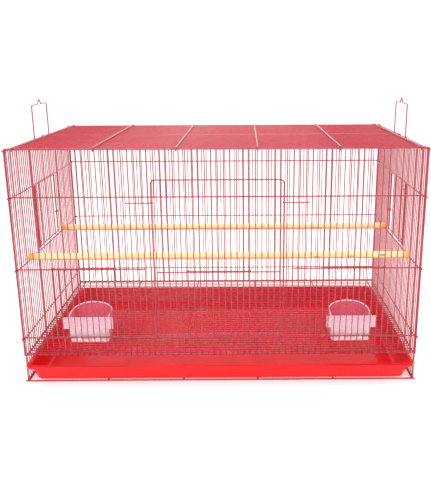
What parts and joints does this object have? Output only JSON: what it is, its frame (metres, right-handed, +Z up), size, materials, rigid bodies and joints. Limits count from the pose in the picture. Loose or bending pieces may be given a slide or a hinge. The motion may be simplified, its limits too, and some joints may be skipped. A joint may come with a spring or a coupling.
{
  "type": "wire bird cage",
  "caption": "Long rectangular wire cage for small birds with a slide-out tray, hinged front door, sliding feeder doors, side nest doors, bail handles, perches and feed cups.",
  "frame": {"origin": "on the ground under the middle of the cage's box", "axes": "+X to the cage's right seen from the front, along its length; +Y to the back; +Z up"},
  "size_m": [0.7742, 0.4806, 0.5328],
  "materials": {
    "wire": "red powder coat on steel wire, satin gloss",
    "tray": "glossy red moulded plastic",
    "perch": "bare light pine dowel",
    "cup": "thin translucent white moulded plastic"
  },
  "bodies": {
    "cage": {"base_frame": "wire", "floor_grille": "wire", "front_panel": "wire", "back_panel": "wire", "left_panel": "wire", "right_panel": "wire", "top_panel": "wire"},
    "tray": {"tray": "tray"},
    "front_door": {"front_door": "wire"},
    "front_latch_left": {"front_latch_left": "wire"},
    "front_latch_right": {"front_latch_right": "wire"},
    "feeder_door_left": {"feeder_door_left": "wire"},
    "feeder_door_right": {"feeder_door_right": "wire"},
    "feeder_door_middle": {"feeder_door_middle": "wire"},
    "nest_door_left": {"nest_door_left": "wire"},
    "nest_door_right": {"nest_door_right": "wire"},
    "nest_latch_left": {"nest_latch_left": "wire"},
    "nest_latch_right": {"nest_latch_right": "wire"},
    "handle_left": {"handle_left": "wire"},
    "handle_right": {"handle_right": "wire"},
    "perch_front": {"perch_front": "perch"},
    "perch_back": {"perch_back": "perch"},
    "cup_left": {"cup_left": "cup"},
    "cup_right": {"cup_right": "cup"}
  },
  "joints": [
    {"name": "tray_slide", "type": "slide", "parent": "cage", "child": "tray", "axis": [0, -1, 0], "range_m": [0, 0.4]},
    {"name": "front_door_hinge", "type": "hinge", "parent": "cage", "child": "front_door", "pos_m": [0, -0.21821, 0.092], "axis": [1, 0, 0], "range_deg": [0, 90]},
    {"name": "front_latch_left_hinge", "type": "hinge", "parent": "front_door", "child": "front_latch_left", "pos_m": [-0.12123, -0.22291, 0.358], "axis": [0, 0, 1], "range_deg": [0, 95]},
    {"name": "front_latch_right_hinge", "type": "hinge", "parent": "front_door", "child": "front_latch_right", "pos_m": [0.12123, -0.22291, 0.358], "axis": [0, 0, -1], "range_deg": [0, 95]},
    {"name": "feeder_door_left_slide", "type": "slide", "parent": "cage", "child": "feeder_door_left", "axis": [0, 0, 1], "range_m": [0, 0.13]},
    {"name": "feeder_door_right_slide", "type": "slide", "parent": "cage", "child": "feeder_door_right", "axis": [0, 0, 1], "range_m": [0, 0.13]},
    {"name": "feeder_door_middle_slide", "type": "slide", "parent": "front_door", "child": "feeder_door_middle", "axis": [0, 0, 1], "range_m": [0, 0.12]},
    {"name": "nest_door_left_hinge", "type": "hinge", "parent": "cage", "child": "nest_door_left", "pos_m": [-0.3807, -0.06036, 0.3], "axis": [0, 0, 1], "range_deg": [0, 110]},
    {"name": "nest_door_right_hinge", "type": "hinge", "parent": "cage", "child": "nest_door_right", "pos_m": [0.3807, -0.06036, 0.3], "axis": [0, 0, -1], "range_deg": [0, 110]},
    {"name": "nest_latch_left_hinge", "type": "hinge", "parent": "nest_door_left", "child": "nest_latch_left", "pos_m": [-0.3833, 0.08094, 0.276], "axis": [0, 0, 1], "range_deg": [0, 90]},
    {"name": "nest_latch_right_hinge", "type": "hinge", "parent": "nest_door_right", "child": "nest_latch_right", "pos_m": [0.3833, 0.08094, 0.276], "axis": [0, 0, -1], "range_deg": [0, 90]},
    {"name": "handle_left_hinge", "type": "hinge", "parent": "cage", "child": "handle_left", "pos_m": [-0.3786, 0.00819, 0.4524], "axis": [0, -1, 0], "range_deg": [-50, 170]},
    {"name": "handle_right_hinge", "type": "hinge", "parent": "cage", "child": "handle_right", "pos_m": [0.3786, 0.00819, 0.4524], "axis": [0, 1, 0], "range_deg": [-50, 170]},
    {"name": "perch_front_lift", "type": "slide", "parent": "cage", "child": "perch_front", "axis": [0, 0, 1], "range_m": [0, 0.06]},
    {"name": "perch_back_lift", "type": "slide", "parent": "cage", "child": "perch_back", "axis": [0, 0, 1], "range_m": [0, 0.06]},
    {"name": "cup_left_lift", "type": "slide", "parent": "cage", "child": "cup_left", "axis": [0, 0, 1], "range_m": [0, 0.03]},
    {"name": "cup_right_lift", "type": "slide", "parent": "cage", "child": "cup_right", "axis": [0, 0, 1], "range_m": [0, 0.03]}
  ]
}
